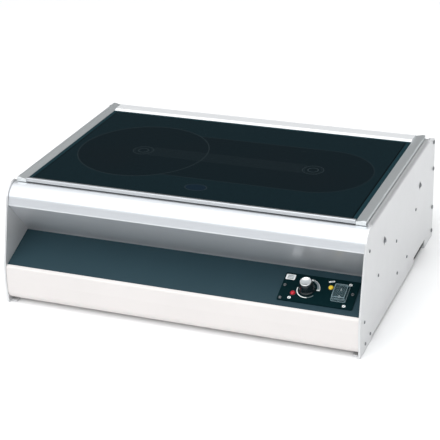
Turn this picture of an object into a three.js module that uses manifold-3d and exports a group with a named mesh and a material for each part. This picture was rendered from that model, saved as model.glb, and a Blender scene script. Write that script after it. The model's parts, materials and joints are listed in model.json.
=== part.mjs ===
// Table-top induction hob: two folded side plates carry a framed glass-ceramic top, a bullnose
// front cover with a control recess under it, a lower front panel, a rear cover over a recessed
// rear panel, and a base pan. Inside are two coil units on a tray, the power board with its
// cooling, and the control gear.
// Frame: +X right, +Y back, +Z up, origin on the table under the middle of the body. Millimetres.

import * as THREE from 'three';
import { mergeVertices } from 'three/addons/utils/BufferGeometryUtils.js';
import Module from 'manifold-3d';

const wasm = await Module();
wasm.setup();

// ---------------------------------------------------------------- driving dimensions
const WIDTH = 600;               // over the outer faces of the side plates
const DEPTH = 460;               // front bend to rear edge of the side plates
const HEIGHT = 203;              // table to the top of the glass frame
const CLEAR = 0.3;               // gap between pieces that touch
const PLATE = 2.8;               // side plate sheet
const SKIN = 1.5;                // sheet of the folded covers, the base pan and the tray

const GLASS = 4;                 // glass-ceramic plate
const GLASS_DROP = 2.8;          // top of the frame above the glass
const SEAL = 1;                  // silicone seal under the glass edge
const LEDGE = 2;                 // ledge of the frame under the seal
const LEDGE_REACH = 9.3;         // how far the ledge runs in under the glass
const SIDE_RAIL_WIDTH = 16.25;
const FRONT_RAIL_LAP = 1.1;      // front rail over the end of the nose's bend
const FRONT_RAIL_DEPTH = 6.4;
const REAR_RAIL_SETBACK = 38.3;  // rear of the side plates to the rear rail
const REAR_RAIL_DEPTH = 30.9;

const PLATE_DROP = 6;            // top of the frame above the side plates
const PLATE_BEND = 7.2;          // outer radius of the rolled top edge
const BAND_GAP = 1;              // shadow gap between the rolled edge and the frame
const REVEAL = 2.7;              // side plate edges stand this proud of the nose and rear cover
const FOOT_TAB = 11;             // width of the bent-in foot tabs

const NOSE_LEAN = 35;            // front of the body to the top front corner of the side plate
const NOSE_HEIGHT = 34.2;        // top of the side plates to the lower edge of the bullnose
const NOSE_RADIUS = 26;
const FASCIA_SLOPE = THREE.MathUtils.degToRad(22.3);
const FASCIA_LENGTH = 82.2;
const LIP_SETBACK = 7.8;         // front of the body to the foot of the sloped fascia
const LIP_HEIGHT = 67.2;
const LIP_RUN = 3.15;            // sloped part of the lower panel's lip, past its tight fold
const LIP_RADIUS = 4.6;

const PAN_FLOOR = 5.5;           // underside of the base pan
const REAR_RECESS = 16;          // rear of the body to the recessed rear panel
const OVERHANG_DROP = 29;        // top of the side plates to the rear overhang's underside
const REAR_CHAMFER = THREE.MathUtils.degToRad(20);

const COIL_RADIUS = 90;
const COIL_THICKNESS = 8.5;
const CARRIER_RADIUS = 95;
const CARRIER_THICKNESS = 4.5;
const LEFT_COIL_MARGIN = 27;     // carrier edge to the ledge on the left
const RIGHT_COIL_MARGIN = 16.3;  // carrier edge to the ledge on the right
const TRAY_DROP = 47.5;          // top of the side plates to the coil tray

const CONTROL_PLATE = [119, 55, 1.5];
const CONTROL_MARGIN = 18;       // control plate to the right side plate's outer face
const CONTROL_RISE = 38.5;       // foot of the fascia to the middle of the control plate
const KNOB_RADIUS = 12.9;
const KNOB_HEIGHT = 20.3;
const SHAFT_RADIUS = 3;
const FAN_SIZE = 92;
const FAN_DEPTH = 25;

// ---------------------------------------------------------------- derived places
const HALF = WIDTH / 2;
const INNER = HALF - PLATE - CLEAR;
const FRONT = -DEPTH / 2;
const REAR = DEPTH / 2;
const PLATE_TOP = HEIGHT - PLATE_DROP;
const GLASS_TOP = HEIGHT - GLASS_DROP;
const GLASS_BOTTOM = GLASS_TOP - GLASS;
const LEDGE_TOP = GLASS_BOTTOM - SEAL - 2 * CLEAR;
const RAIL_OUTER = HALF - PLATE_BEND - BAND_GAP;
const RAIL_INNER = RAIL_OUTER - SIDE_RAIL_WIDTH;
const GLASS_HALF = RAIL_INNER - CLEAR;
const PLATE_FRONT_TOP = [FRONT + NOSE_LEAN, PLATE_TOP];
const PLATE_LIP = [FRONT + 2.2, LIP_HEIGHT - 1.5];
const FACE_LEAN = Math.atan2(PLATE_FRONT_TOP[0] - PLATE_LIP[0], PLATE_TOP - PLATE_LIP[1]);
const NOSE_BEND = (NOSE_RADIUS + REVEAL) / Math.tan(Math.PI / 4 + FACE_LEAN / 2);
const FRONT_RAIL = PLATE_FRONT_TOP[0] + NOSE_BEND - FRONT_RAIL_LAP;
const GLASS_FRONT = FRONT_RAIL + FRONT_RAIL_DEPTH + CLEAR;
const REAR_RAIL = REAR - REAR_RAIL_SETBACK;
const GLASS_REAR = REAR_RAIL - REAR_RAIL_DEPTH - CLEAR;
const RAIL_STEP = PLATE_TOP - 1.8;      // underside of the rails where they lie over the covers
const COVER_TOP = PLATE_TOP - REVEAL;
const BAND_FRONT = FRONT_RAIL + 3.7;    // the rolled edge runs between the nose and the rear cover
const BAND_REAR = REAR_RAIL - 3.7;
const BRACKET_TOP = PLATE_TOP - 7.5;
const FASCIA_FOOT = [FRONT + LIP_SETBACK, LIP_HEIGHT];
const UP_SLOPE = [Math.cos(FASCIA_SLOPE), Math.sin(FASCIA_SLOPE)];
const APEX = along(FASCIA_FOOT, UP_SLOPE, FASCIA_LENGTH);
const REAR_PANEL = REAR - REAR_RECESS;
const REAR_EDGE = REAR - REVEAL + 0.3;
const OVERHANG = PLATE_TOP - OVERHANG_DROP;
const FOLD = SKIN + CLEAR;              // outer radius of a tight fold in the covers
const TRAY_TOP = PLATE_TOP - TRAY_DROP;
const PAN_TOP = PAN_FLOOR + SKIN;
const BOARD_BOTTOM = PAN_TOP + 11;
const BOARD_TOP = BOARD_BOTTOM + 1.6;
const NOTCH = [REAR - 133, REAR - 57];  // hand notch along the foot of each side plate
const NOTCH_TOP = PAN_FLOOR + 11.5;
const LEDGE_EDGE = RAIL_INNER - LEDGE_REACH;
const COIL_Y = (GLASS_FRONT + GLASS_REAR) / 2;
const COILS = {
  left: -(LEDGE_EDGE - LEFT_COIL_MARGIN - CARRIER_RADIUS),
  right: LEDGE_EDGE - RIGHT_COIL_MARGIN - CARRIER_RADIUS,
};
const FAN = [-HALF + 140, REAR_PANEL - SKIN - CLEAR, PAN_TOP + SKIN + 2 * CLEAR + FAN_SIZE / 2];

// Screws through the side plates' rear edge into the rear cover and the rear panel, as [y, z].
const REAR_SCREWS = [
  [REAR - 10, PLATE_TOP - 16.5],
  [REAR - 8, 131],
  [REAR - 8, 58],
  [REAR - 8, 13],
];
// Vertical slots in the side plates where the coil tray is set to height, as [y, z].
const TRAY_SLOTS = [
  [REAR - 103, TRAY_TOP - 11.5],
  [FRONT + 133, TRAY_TOP - 11.5],
];
const HEAD_RADIUS = 3.6;
const SHANK_RADIUS = 1.8;
const HOLE_RADIUS = 2.2;

// Control pieces on the fascia, as [x from the control plate's middle, distance up the slope].
const KNOB_AT = [-17.9, 37.2];
const SWITCH_AT = [34.3, 38.5];
const RED_LAMP_AT = [-37.7, 26.8];
const YELLOW_LAMP_AT = [17.1, 47.5];
const PLATE_SCREWS = [[-54.6, 40.5], [-54.6, 14.8], [53, 40.5]];
const BORE_RADIUS = SHAFT_RADIUS + CLEAR;
const BUSH_RADIUS = BORE_RADIUS + 1.2;
const KNOB_HOLE_RADIUS = BUSH_RADIUS + 0.4;
const LAMP_HOLE_RADIUS = 3.8;
const SWITCH_CUTOUT = [18.6, 24.6];
const CONTROL_X = HALF - CONTROL_MARGIN - CONTROL_PLATE[0] / 2;
const PLATE_FACE = CLEAR + CONTROL_PLATE[2];   // top of the control plate above the fascia

// ---------------------------------------------------------------- outlines
function along([a, b], [da, db], distance) {
  return [a + da * distance, b + db * distance];
}

// Points of the arc that rounds a corner between its two neighbours.
function fillet(before, corner, after, radius, steps) {
  const from = new THREE.Vector2(...before).sub(new THREE.Vector2(...corner)).normalize();
  const to = new THREE.Vector2(...after).sub(new THREE.Vector2(...corner)).normalize();
  const half = Math.acos(from.dot(to)) / 2;
  const middle = from.clone().add(to).normalize().multiplyScalar(radius / Math.sin(half));
  const centre = new THREE.Vector2(...corner).add(middle);
  const start = new THREE.Vector2(...corner).addScaledVector(from, radius / Math.tan(half));
  const sweep = (Math.PI - 2 * half) * Math.sign(-from.cross(to));
  const points = [];
  for (let i = 0; i <= steps; i += 1) {
    const point = start.clone().rotateAround(centre, (sweep * i) / steps);
    points.push([point.x, point.y]);
  }
  return points;
}

// Corners are [a, b] or [a, b, radius]; the ends of an open path stay sharp.
function rounded(corners, closed = true, steps = 6) {
  return corners.flatMap(([a, b, radius], i) => {
    const end = !closed && (i === 0 || i === corners.length - 1);
    if (!radius || end) return [[a, b]];
    const before = corners.at(i - 1);
    const after = corners[(i + 1) % corners.length];
    return fillet(before.slice(0, 2), [a, b], after.slice(0, 2), radius, steps);
  });
}

// Cross-section of sheet folded along a path. The sheet lies to the path's left,
// or to its right where the thickness is negative.
function folded(path, thickness) {
  const points = path.map((point) => new THREE.Vector2(...point));
  const normals = points.slice(1).map((point, i) => {
    const run = point.clone().sub(points[i]).normalize();
    return new THREE.Vector2(-run.y, run.x);
  });
  const other = points.map((point, i) => {
    const first = normals[Math.max(i - 1, 0)];
    const second = normals[Math.min(i, normals.length - 1)];
    const mitre = first.clone().add(second).multiplyScalar(thickness / (1 + first.dot(second)));
    return point.clone().add(mitre).toArray();
  });
  return [...path, ...other.reverse()];
}

function rectangle([a0, a1], [b0, b1], radius = 0) {
  const corners = [[a0, b0, radius], [a1, b0, radius], [a1, b1, radius], [a0, b1, radius]];
  return rounded(corners, true, 3);
}

// ---------------------------------------------------------------- geometry helpers
// An outline pushed along an axis: (y, z) along X, (x, z) along Y, or (x, y) along Z.
function prism(outline, axis, from, to) {
  const shape = new THREE.Shape(outline.map((point) => new THREE.Vector2(...point)));
  const geometry = new THREE.ExtrudeGeometry(shape, { depth: to - from, bevelEnabled: false });
  const [X, Y, Z] = [[1, 0, 0], [0, 1, 0], [0, 0, 1]].map((v) => new THREE.Vector3(...v));
  if (axis === 'x') {
    geometry.applyMatrix4(new THREE.Matrix4().makeBasis(Y, Z, X));
    return geometry.translate(from, 0, 0);
  }
  if (axis === 'y') {
    geometry.applyMatrix4(new THREE.Matrix4().makeBasis(X, Z, Y.negate()));
    return geometry.translate(0, to, 0);
  }
  return geometry.translate(0, 0, from);
}

function block([x0, x1], [y0, y1], [z0, z1]) {
  const geometry = new THREE.BoxGeometry(x1 - x0, y1 - y0, z1 - z0);
  return geometry.translate((x0 + x1) / 2, (y0 + y1) / 2, (z0 + z1) / 2);
}

// A block whose top is smaller than its base, both centred on the origin.
function frustum([baseX, baseY], [topX, topY], z0, z1) {
  const geometry = new THREE.BoxGeometry(1, 1, z1 - z0).translate(0, 0, (z0 + z1) / 2);
  const position = geometry.attributes.position;
  for (let i = 0; i < position.count; i += 1) {
    const top = position.getZ(i) > (z0 + z1) / 2;
    const sizeX = top ? topX : baseX;
    const sizeY = top ? topY : baseY;
    position.setX(i, position.getX(i) * sizeX);
    position.setY(i, position.getY(i) * sizeY);
  }
  return geometry;
}

// A profile of [radius, height] turned about +Z, from its lowest point outwards and up.
function turned(profile, segments = 32) {
  const points = profile.map(([radius, height]) => new THREE.Vector2(radius, height));
  return new THREE.LatheGeometry(points, segments).rotateX(Math.PI / 2);
}

function rod(radius, z0, z1, segments = 16) {
  return turned([[0, z0], [radius, z0], [radius, z1], [0, z1]], segments);
}

function ring(inner, outer, z0, z1, segments = 36) {
  return turned([[inner, z0], [outer, z0], [outer, z1], [inner, z1], [inner, z0]], segments);
}

function hexagon(acrossFlats) {
  const radius = acrossFlats / Math.sqrt(3);
  return Array.from({ length: 6 }, (_, i) => {
    const angle = (i * Math.PI) / 3;
    return [radius * Math.cos(angle), radius * Math.sin(angle)];
  });
}

// +1 for the right side and -1 for the left.
function span(side, a, b) {
  return side > 0 ? [a, b] : [-b, -a];
}

function toSide(geometry, side, y, z) {
  return geometry.rotateY((side * Math.PI) / 2).translate(side * HALF, y, z);
}

// ---------------------------------------------------------------- solids
function solid(geometry) {
  const plain = geometry.index ? geometry.toNonIndexed() : geometry.clone();
  plain.deleteAttribute('normal');
  plain.deleteAttribute('uv');
  const merged = mergeVertices(plain, 1e-4);
  const triangles = [];
  for (let i = 0; i < merged.index.count; i += 3) {
    const corners = [0, 1, 2].map((k) => merged.index.getX(i + k));
    if (new Set(corners).size === 3) triangles.push(...corners);
  }
  return new wasm.Manifold(new wasm.Mesh({
    numProp: 3,
    vertProperties: merged.attributes.position.array,
    triVerts: new Uint32Array(triangles),
  }));
}

function join(...geometries) {
  return geometries.map(solid).reduce((whole, piece) => whole.add(piece));
}

function cut(body, ...geometries) {
  return geometries.reduce((rest, geometry) => rest.subtract(solid(geometry)), body);
}

function surface(body) {
  const mesh = body.getMesh();
  const geometry = new THREE.BufferGeometry();
  geometry.setAttribute('position', new THREE.Float32BufferAttribute(mesh.vertProperties, 3));
  geometry.setIndex(new THREE.Uint32BufferAttribute(mesh.triVerts, 1));
  geometry.computeVertexNormals();
  return geometry;
}

const MATERIALS = {
  side_sheet: { color: 0xd3d4d4, roughness: 0.55, metalness: 0.2 },
  front_skin: { color: 0xc9cccf, roughness: 0.35, metalness: 0.8 },
  fascia: { color: 0x2b3d45, roughness: 0.6, metalness: 0.1 },
  panel: { color: 0xe6e3e0, roughness: 0.5, metalness: 0.3 },
  frame: { color: 0xb9bcbf, roughness: 0.35, metalness: 0.9 },
  glass_top: { color: 0x18262b, roughness: 0.1, metalness: 0 },
  galvanised: { color: 0x9da1a3, roughness: 0.5, metalness: 0.8 },
  black_plastic: { color: 0x16191b, roughness: 0.5, metalness: 0 },
  grey_rubber: { color: 0x3a3c3e, roughness: 0.9, metalness: 0 },
  bright_cap: { color: 0xdcdcde, roughness: 0.3, metalness: 0.9 },
  clear_cover: { color: 0xb9c4c8, roughness: 0.15, metalness: 0 },
  red_lens: { color: 0xc8202c, roughness: 0.2, metalness: 0 },
  yellow_lens: { color: 0xe8c020, roughness: 0.2, metalness: 0 },
  copper: { color: 0xb36b3a, roughness: 0.4, metalness: 0.7 },
  ferrite: { color: 0x303234, roughness: 0.7, metalness: 0.1 },
  mica: { color: 0xc9b89a, roughness: 0.6, metalness: 0 },
  board: { color: 0x2c5b3c, roughness: 0.6, metalness: 0 },
  screw_steel: { color: 0x6a6c6e, roughness: 0.4, metalness: 0.9 },
};

function part(name, slot, body) {
  const mesh = new THREE.Mesh(surface(body), new THREE.MeshStandardMaterial(MATERIALS[slot]));
  mesh.name = name;
  return mesh;
}

// ---------------------------------------------------------------- casing
function sideOutline() {
  const chamferDrop = (REAR - (REAR_RAIL + 3.8)) * Math.tan(REAR_CHAMFER);
  return rounded([
    [REAR_RAIL + 3.8, PLATE_TOP],
    [...PLATE_FRONT_TOP, NOSE_RADIUS + REVEAL],
    [...PLATE_LIP, 20],
    [FRONT, PAN_FLOOR + 35, 30],
    [FRONT + 2.2, 0, 2.5],
    [FRONT + 65, 0, 1.5],
    [FRONT + 66, PAN_FLOOR],
    [NOTCH[0], PAN_FLOOR, 1],
    [NOTCH[0], NOTCH_TOP, 1.5],
    [NOTCH[1], NOTCH_TOP, 1.5],
    [NOTCH[1], 0, 1.5],
    [REAR, 0, 2.5],
    [REAR, PLATE_TOP - chamferDrop, 10],
  ]);
}

function slotOutline([y, z], width, length) {
  return rectangle([y - width / 2, y + width / 2], [z - length / 2, z + length / 2], width / 2 - 0.1);
}

function sidePlate(side) {
  const [x0, x1] = span(side, HALF - PLATE, HALF);
  const bandTop = [BAND_FRONT, BAND_REAR];
  const flat = cut(
    join(prism(sideOutline(), 'x', x0, x1)),
    block([x0 - 1, x1 + 1], bandTop, [PLATE_TOP - PLATE_BEND, HEIGHT]),
  );
  const bend = rounded([
    [side * HALF, PLATE_TOP - PLATE_BEND - 2],
    [side * HALF, PLATE_TOP, PLATE_BEND - 0.01],
    [side * (HALF - PLATE_BEND), PLATE_TOP],
  ], false);
  const tabs = span(side, HALF - PLATE - FOOT_TAB, HALF - PLATE / 2);
  const plate = flat
    .add(solid(prism(folded(bend, side * PLATE), 'y', ...bandTop)))
    .add(solid(block(tabs, [FRONT + 8, FRONT + 63], [0, PLATE])))
    .add(solid(block(tabs, [NOTCH[1], REAR - 3], [0, PLATE])))
    .add(solid(block(tabs, [NOTCH[1], NOTCH[1] + PLATE], [0, PAN_FLOOR - CLEAR])));
  const holes = REAR_SCREWS.map(([y, z]) => toSide(rod(HOLE_RADIUS, -9, 3, 12), side, y, z));
  const slots = TRAY_SLOTS.map((at) => prism(slotOutline(at, 4.6, 15), 'x', x0 - 1, x1 + 1));
  return cut(plate, ...holes, ...slots);
}

// Small triangular or four-sided end flanges that carry a cover's side screws.
function endTabs(outline) {
  return [1, -1].map((side) => prism(outline, 'x', ...span(side, INNER - SKIN, INNER)));
}

// Line of the nose's front face, parallel to the side plates' leaning front edge.
function noseFace(z) {
  const [topY, topZ] = PLATE_FRONT_TOP;
  return topY - Math.tan(FACE_LEAN) * (topZ - z) + REVEAL / Math.cos(FACE_LEAN);
}

function noseCover() {
  const edgeZ = PLATE_TOP - NOSE_HEIGHT;
  const edgeY = noseFace(edgeZ);
  const path = rounded([
    [BAND_FRONT - 0.4, COVER_TOP - 12],
    [BAND_FRONT - 0.4, COVER_TOP, FOLD],
    [noseFace(COVER_TOP), COVER_TOP, NOSE_RADIUS],
    [edgeY, edgeZ, 3],
    [...APEX, 2],
    [APEX[0], APEX[1] - 14],
  ], false, 8);
  const upper = [
    [edgeY + 1.2, edgeZ],
    [edgeY + 14, COVER_TOP - 9],
    [edgeY + 26, COVER_TOP - 1],
    [edgeY + 30, edgeZ + 2],
    [edgeY + 24, edgeZ - 16],
    [edgeY + 12.5, edgeZ - 13.5],
  ];
  const [y, z] = APEX;
  const lower = [[y + 0.7, z - 13], [y + 26, z - 10], [y + 26, z + 4], [y + 0.7, z + 1]];
  return join(prism(folded(path, SKIN), 'x', -INNER, INNER), ...endTabs(upper), ...endTabs(lower));
}

// Moves a piece from the fascia's own frame to the body's frame.
function onFascia(geometry, [x, rise]) {
  const frame = new THREE.Matrix4().makeRotationX(FASCIA_SLOPE);
  frame.setPosition(0, ...FASCIA_FOOT);
  return geometry.translate(CONTROL_X + x, rise, 0).applyMatrix4(frame);
}

function controlHoles() {
  const [cutX, cutY] = SWITCH_CUTOUT;
  const slot = rectangle([-cutX / 2, cutX / 2], [-cutY / 2, cutY / 2], 1);
  return [
    [rod(KNOB_HOLE_RADIUS, -8, 8, 20), KNOB_AT],
    [rod(LAMP_HOLE_RADIUS, -8, 8), RED_LAMP_AT],
    [rod(LAMP_HOLE_RADIUS, -8, 8), YELLOW_LAMP_AT],
    [prism(slot, 'z', -8, 8), SWITCH_AT],
    ...PLATE_SCREWS.map((at) => [rod(HOLE_RADIUS - 0.4, -8, 8, 10), at]),
  ];
}

function controlFascia() {
  const [footY, footZ] = FASCIA_FOOT;
  const topY = APEX[0] - CLEAR;
  const startY = footY + CLEAR;
  const rise = Math.tan(FASCIA_SLOPE);
  const path = rounded([
    [topY, APEX[1] - 12],
    [topY, footZ + (topY - footY) * rise, FOLD],
    [startY, footZ + CLEAR * rise, FOLD],
    [startY, footZ - 13],
  ], false, 3);
  const tab = [
    [footY + 14, footZ + 4.8],
    [topY - 8, APEX[1] - 4.4],
    [topY - 20, APEX[1] - 24],
    [footY + 24, footZ - 8],
  ];
  const sheet = join(prism(folded(path, SKIN), 'x', -INNER, INNER), ...endTabs(tab));
  return cut(sheet, ...controlHoles().map(([tool, at]) => onFascia(tool, at)));
}

function lowerFrontPanel() {
  const [footY, footZ] = FASCIA_FOOT;
  const [lipY, lipZ] = along(FASCIA_FOOT, UP_SLOPE, -LIP_RUN - 1.5 * SKIN);
  const path = rounded([
    [footY, footZ - 13],
    [footY, footZ],
    [lipY, lipZ, LIP_RADIUS],
    [FRONT + 0.9, PAN_FLOOR + 36, 30],
    [FRONT + 2, PAN_FLOOR - 0.9, 18],
    [FRONT + 39, PAN_FLOOR - 0.9],
  ], false, 8);
  const tab = [
    [FRONT + 1.8, PAN_FLOOR + 40],
    [FRONT + 2.2, PAN_FLOOR + 24],
    [FRONT + 20, PAN_FLOOR + 0.1],
    [FRONT + 38, PAN_FLOOR + 0.1],
    [FRONT + 38, PAN_FLOOR + 10],
    [FRONT + 30, PAN_FLOOR + 52],
    [FRONT + 14, PAN_FLOOR + 52],
  ];
  return join(prism(folded(path, SKIN), 'x', -INNER, INNER), ...endTabs(tab));
}

function rearScrewHoles() {
  return [1, -1].flatMap((side) => (
    REAR_SCREWS.map(([y, z]) => toSide(rod(HOLE_RADIUS, -9, 3, 12), side, y, z))
  ));
}

// Top cover behind the glass: flat, chamfer and overhang, with a cheek at each end.
function rearCover() {
  const bendY = REAR_RAIL + 3.3;
  const cornerZ = COVER_TOP - (REAR_EDGE - bendY) * Math.tan(REAR_CHAMFER);
  const path = rounded([
    [BAND_REAR + CLEAR, COVER_TOP - 11],
    [BAND_REAR + CLEAR, COVER_TOP, FOLD],
    [bendY, COVER_TOP, 6],
    [REAR_EDGE, cornerZ, 8],
    [REAR_EDGE, OVERHANG, FOLD],
    [REAR_PANEL - 8, OVERHANG],
  ], false, 5);
  const cheek = [
    [REAR_PANEL - 7, OVERHANG + 0.5],
    [REAR_EDGE - FOLD, OVERHANG + 0.5],
    [REAR_EDGE - 0.4, OVERHANG + FOLD],
    [REAR_EDGE - 7.5, cornerZ + 1.4],
    [REAR_PANEL - 7, cornerZ + 7],
  ];
  const sheet = join(prism(folded(path, -SKIN), 'x', -INNER, INNER), ...endTabs(cheek));
  return cut(sheet, ...rearScrewHoles());
}

// Recessed panel under the overhang, flanged towards the rear at each end.
function rearPanel() {
  const height = [PAN_TOP + CLEAR, OVERHANG - CLEAR];
  const sheet = block([-INNER, INNER], [REAR_PANEL - SKIN, REAR_PANEL], height);
  const flanges = [1, -1].map((side) => (
    block(span(side, INNER - SKIN, INNER), [REAR_PANEL - SKIN, REAR_EDGE - 0.2], height)
  ));
  return cut(
    join(sheet, ...flanges),
    ...rearScrewHoles(),
    ...fanGrille(),
    ...airSlots(),
    bushingHole(),
  );
}

// Horizontal slots that fill the fan's circle in the rear panel.
function fanGrille() {
  const [fanX, , fanZ] = FAN;
  const radius = FAN_SIZE / 2 - 7;
  const pitch = (radius - 5.4) / 4;
  const slots = [];
  for (let i = -4; i <= 4; i += 1) {
    const offset = i * pitch;
    const reach = Math.sqrt(radius ** 2 - offset ** 2);
    const z = [fanZ + offset - 2.4, fanZ + offset + 2.4];
    slots.push(block([fanX - reach, fanX + reach], [REAR_PANEL - 4, REAR_PANEL + 2], z));
  }
  return slots;
}

// Upright air slots to the right of the fan.
function airSlots() {
  const slots = [];
  for (let i = 0; i < 10; i += 1) {
    const x = FAN[0] + FAN_SIZE / 2 + 70 + i * 12;
    slots.push(block([x - 2.5, x + 2.5], [REAR_PANEL - 4, REAR_PANEL + 2], [70, 120]));
  }
  return slots;
}

const BUSHING_AT = [HALF - 95, 42];
const BUSHING_HOLE = 10.8;

function onRearPanel(geometry) {
  const [x, z] = BUSHING_AT;
  return geometry.rotateX(-Math.PI / 2).translate(x, REAR_PANEL, z);
}

function bushingHole() {
  return onRearPanel(rod(BUSHING_HOLE, -6, 6, 24));
}

function basePan() {
  const front = FRONT + 39 + CLEAR;
  const rear = REAR_PANEL - 0.2;
  const floor = block([-INNER, INNER], [front, rear], [PAN_FLOOR, PAN_TOP]);
  const runs = [[front + 14, NOTCH[0] - 2], [NOTCH[1] + 2, REAR_PANEL - 14]];
  const flanges = [1, -1].flatMap((side) => runs.map((run) => (
    block(span(side, INNER - SKIN, INNER), run, [PAN_FLOOR, PAN_FLOOR + 19])
  )));
  const lip = block([-INNER + 6, INNER - 6], [front, front + SKIN], [PAN_FLOOR, PAN_FLOOR + 17]);
  const posts = boardPosts().map(([x, y]) => (
    rod(3.5, PAN_TOP - 0.5, BOARD_BOTTOM - CLEAR, 12).translate(x, y, 0)
  ));
  const slots = [];
  for (let i = 0; i < 9; i += 1) {
    const x = HALF - 240 + i * 12;
    slots.push(block([x - 2.5, x + 2.5], [-40, 30], [PAN_FLOOR - 1, PAN_TOP + 1]));
  }
  return cut(join(floor, ...flanges, lip, ...posts), ...slots);
}

// ---------------------------------------------------------------- glass frame
const RAIL_FOOT = BRACKET_TOP + CLEAR;

function sideRail(side) {
  const profile = [
    [RAIL_INNER, LEDGE_TOP - LEDGE],
    [RAIL_INNER + 4.5, LEDGE_TOP - LEDGE],
    [RAIL_INNER + 4.5, RAIL_FOOT],
    [RAIL_OUTER - 2.8, RAIL_FOOT],
    [RAIL_OUTER - 2.8, PLATE_TOP - 3.5],
    [RAIL_OUTER, PLATE_TOP - 3.5],
    [RAIL_OUTER, HEIGHT - 0.8],
    [RAIL_OUTER - 0.8, HEIGHT],
    [RAIL_OUTER - 5.6, HEIGHT],
    [RAIL_OUTER - 7.4, HEIGHT - 0.9],
    [RAIL_INNER, GLASS_TOP + 0.2],
  ].map(([x, z]) => [side * x, z]);
  const ledge = block(
    span(side, LEDGE_EDGE, RAIL_INNER + 1),
    [GLASS_FRONT + LEDGE_REACH, GLASS_REAR - LEDGE_REACH],
    [LEDGE_TOP - LEDGE, LEDGE_TOP],
  );
  const across = span(side, RAIL_INNER - 1, HALF);
  const low = [RAIL_FOOT - 1, RAIL_STEP];
  return cut(
    join(prism(profile, 'y', FRONT_RAIL, REAR_RAIL), ledge),
    block(across, [FRONT_RAIL - 1, BAND_FRONT], low),
    block(across, [BAND_REAR, REAR_RAIL + 1], low),
  );
}

function frontRail() {
  const inner = GLASS_FRONT - CLEAR;
  const profile = [
    [FRONT_RAIL, RAIL_STEP],
    [BAND_FRONT, RAIL_STEP],
    [BAND_FRONT, LEDGE_TOP - LEDGE],
    [inner + LEDGE_REACH, LEDGE_TOP - LEDGE],
    [inner + LEDGE_REACH, LEDGE_TOP],
    [inner, LEDGE_TOP],
    [inner, GLASS_TOP + 0.2],
    [inner - 1.6, HEIGHT - 0.4],
    [FRONT_RAIL + 1, HEIGHT - 0.4],
    [FRONT_RAIL, HEIGHT - 1.4],
  ];
  return join(prism(profile, 'x', -GLASS_HALF, GLASS_HALF));
}

function rearRail() {
  const inner = GLASS_REAR + CLEAR;
  const profile = [
    [inner - LEDGE_REACH, LEDGE_TOP - LEDGE],
    [BAND_REAR - 8, LEDGE_TOP - LEDGE],
    [BAND_REAR - 8, RAIL_FOOT],
    [BAND_REAR, RAIL_FOOT],
    [BAND_REAR, PLATE_TOP + 0.5],
    [REAR_RAIL, PLATE_TOP + 0.5],
    [REAR_RAIL, HEIGHT - 1.8],
    [REAR_RAIL - 3.7, HEIGHT - 1.8],
    [REAR_RAIL - 3.7, HEIGHT - 0.4],
    [inner + 5.2, HEIGHT - 0.4],
    [inner + 4.2, HEIGHT - 1.2],
    [inner, GLASS_TOP + 0.2],
    [inner, LEDGE_TOP],
    [inner - LEDGE_REACH, LEDGE_TOP],
  ];
  return join(prism(profile, 'x', -GLASS_HALF, GLASS_HALF));
}

function glassOutline(inset, radius) {
  return rectangle(
    [-GLASS_HALF + inset, GLASS_HALF - inset],
    [GLASS_FRONT + inset, GLASS_REAR - inset],
    radius,
  );
}

function glassPlate() {
  return join(prism(glassOutline(0, 2.5), 'z', GLASS_BOTTOM, GLASS_TOP));
}

function glassSeal() {
  const [z0, z1] = [LEDGE_TOP + CLEAR, LEDGE_TOP + CLEAR + SEAL];
  return cut(
    join(prism(glassOutline(0.6, 2), 'z', z0, z1)),
    prism(glassOutline(LEDGE_REACH - 1, 2), 'z', z0 - 1, z1 + 1),
  );
}

// Angle on each side plate that carries the glass frame.
function sideBracket(side) {
  const y = [BAND_FRONT + 1, BAND_REAR - 1];
  return join(
    block(span(side, INNER - 2, INNER), y, [BRACKET_TOP - 14, BRACKET_TOP]),
    block(span(side, RAIL_INNER - 5, INNER), y, [BRACKET_TOP - 2, BRACKET_TOP]),
  );
}

// ---------------------------------------------------------------- fasteners
function panScrew() {
  const base = CLEAR;
  return turned([
    [0, -PLATE - 2.5],
    [SHANK_RADIUS, -PLATE - 2.5],
    [SHANK_RADIUS, base],
    [HEAD_RADIUS, base],
    [HEAD_RADIUS, base + 0.6],
    [HEAD_RADIUS - 0.9, base + 1.6],
    [0, base + 1.6],
  ], 14);
}

function sideScrew(side, [y, z]) {
  const slot = block([-0.5, 0.5], [-HEAD_RADIUS, HEAD_RADIUS], [CLEAR + 0.9, CLEAR + 3]);
  return cut(join(toSide(panScrew(), side, y, z)), toSide(slot, side, y, z));
}

// ---------------------------------------------------------------- control gear, in the fascia's frame
function controlPlate() {
  const [width, length] = CONTROL_PLATE;
  const outline = rectangle(
    [-width / 2, width / 2],
    [CONTROL_RISE - length / 2, CONTROL_RISE + length / 2],
    2,
  );
  const tools = controlHoles().map(([tool, [x, rise]]) => tool.translate(x, rise, 0));
  return cut(join(prism(outline, 'z', CLEAR, PLATE_FACE)), ...tools);
}

function plateScrew() {
  const face = PLATE_FACE + CLEAR;
  const screw = join(turned([
    [0, -SKIN - 3],
    [1.5, -SKIN - 3],
    [1.5, face],
    [3, face],
    [2.6, face + 1],
    [0, face + 1],
  ], 16));
  return cut(screw, block([-0.4, 0.4], [-2, 2], [face + 0.5, face + 2]));
}

const BUSH_TOP = PLATE_FACE + 3.1;
const NUT_TOP = PLATE_FACE + 2.6;
const REGULATOR_TOP = -SKIN - CLEAR;
const REGULATOR_DEPTH = 15;

function regulatorBody() {
  const floor = REGULATOR_TOP - REGULATOR_DEPTH;
  const can = prism(rectangle([-13, 13], [-13, 13], 2), 'z', floor, REGULATOR_TOP);
  const body = join(can, rod(BUSH_RADIUS, REGULATOR_TOP - 1, BUSH_TOP, 20));
  return cut(body, rod(BORE_RADIUS, floor + 2, BUSH_TOP + 1, 20));
}

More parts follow.
